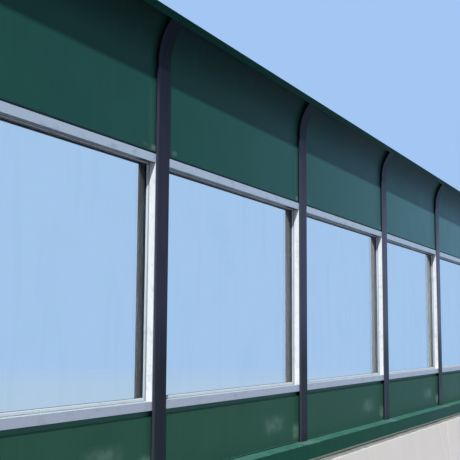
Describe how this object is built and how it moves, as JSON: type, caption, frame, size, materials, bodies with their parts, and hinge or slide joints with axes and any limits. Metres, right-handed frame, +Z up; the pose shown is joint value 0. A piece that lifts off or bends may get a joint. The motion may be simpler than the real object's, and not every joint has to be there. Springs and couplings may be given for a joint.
{
  "type": "highway noise barrier",
  "caption": "Highway noise barrier in bays: curved steel H posts on a concrete parapet, with green metal panels below and above framed clear panes.",
  "frame": {"origin": "on the underside of the parapet, below the middle of the row of posts", "axes": "+X along the wall, -Y towards the road, +Z up"},
  "size_m": [10.4, 0.5333, 3.5267],
  "materials": {
    "concrete": "matte",
    "mortar": "matte",
    "joint_filler": "matte",
    "post_paint": "satin",
    "green_panel_paint": "satin",
    "green_trim_paint": "satin",
    "frame_aluminium": "satin",
    "pane_glass": "gloss",
    "seal_rubber": "matte"
  },
  "bodies": {
    "root": {"parapet_1": "concrete", "parapet_2": "concrete", "parapet_3": "concrete", "joint_fillers": "joint_filler", "mortar_bed": "mortar", "post_1": "post_paint", "post_2": "post_paint", "post_3": "post_paint", "post_4": "post_paint", "post_5": "post_paint", "post_6": "post_paint", "lower_panel_1": "green_panel_paint", "lower_panel_2": "green_panel_paint", "lower_panel_3": "green_panel_paint", "lower_panel_4": "green_panel_paint", "lower_panel_5": "green_panel_paint", "upper_panel_1": "green_panel_paint", "upper_panel_2": "green_panel_paint", "upper_panel_3": "green_panel_paint", "upper_panel_4": "green_panel_paint", "upper_panel_5": "green_panel_paint", "top_cap_1": "green_trim_paint", "top_cap_2": "green_trim_paint", "top_cap_3": "green_trim_paint", "top_cap_4": "green_trim_paint", "top_cap_5": "green_trim_paint", "sill_flashing_1": "green_trim_paint", "sill_flashing_2": "green_trim_paint", "sill_flashing_3": "green_trim_paint", "sill_flashing_4": "green_trim_paint", "sill_flashing_5": "green_trim_paint", "window_frame_1": "frame_aluminium", "window_frame_2": "frame_aluminium", "window_frame_3": "frame_aluminium", "window_frame_4": "frame_aluminium", "window_frame_5": "frame_aluminium", "pane_1": "pane_glass", "pane_2": "pane_glass", "pane_3": "pane_glass", "pane_4": "pane_glass", "pane_5": "pane_glass", "rail_seals": "seal_rubber", "front_seals": "seal_rubber", "rear_seals": "seal_rubber"}
  },
  "joints": []
}
